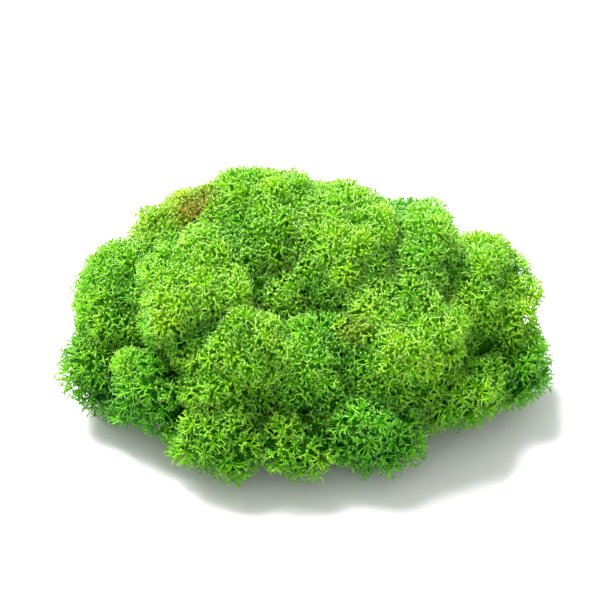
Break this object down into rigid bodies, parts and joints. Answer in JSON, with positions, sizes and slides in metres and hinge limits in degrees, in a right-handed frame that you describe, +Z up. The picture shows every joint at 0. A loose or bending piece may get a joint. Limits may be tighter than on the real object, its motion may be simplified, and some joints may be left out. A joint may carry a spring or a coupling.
{
  "type": "reindeer moss clump",
  "caption": "Cushion of preserved reindeer moss: rounded heads of fine star-tipped branches on forked stems, bedded in a mat of old stems.",
  "frame": {"origin": "under the middle of the clump's outline, on the surface that it rests on", "axes": "+Z up, +X along the clump's widest way, -Y towards the side that the picture shows"},
  "size_m": [0.1106, 0.0794, 0.0492],
  "materials": {
    "bright_moss": "matte",
    "deep_moss": "matte",
    "olive_moss": "matte",
    "old_stems": "matte"
  },
  "bodies": {
    "root": {"head_left": "bright_moss", "head_upper_left": "olive_moss", "head_top": "bright_moss", "head_middle": "bright_moss", "head_inner": "deep_moss", "head_inner_left": "bright_moss", "head_inner_right": "deep_moss", "head_right": "bright_moss", "head_front_left": "bright_moss", "head_front": "deep_moss", "head_front_right": "bright_moss", "head_back_left": "deep_moss", "head_back": "bright_moss", "head_back_right": "deep_moss", "side_head_left": "bright_moss", "side_head_left_front": "deep_moss", "side_head_front_left": "bright_moss", "side_head_front": "bright_moss", "side_head_front_right": "deep_moss", "side_head_right_front": "bright_moss", "side_head_right": "deep_moss", "side_head_right_back": "bright_moss", "side_head_back_right": "bright_moss", "side_head_back": "deep_moss", "side_head_back_left": "bright_moss", "side_head_left_back": "bright_moss", "old_stem_mat": "old_stems"}
  },
  "joints": []
}
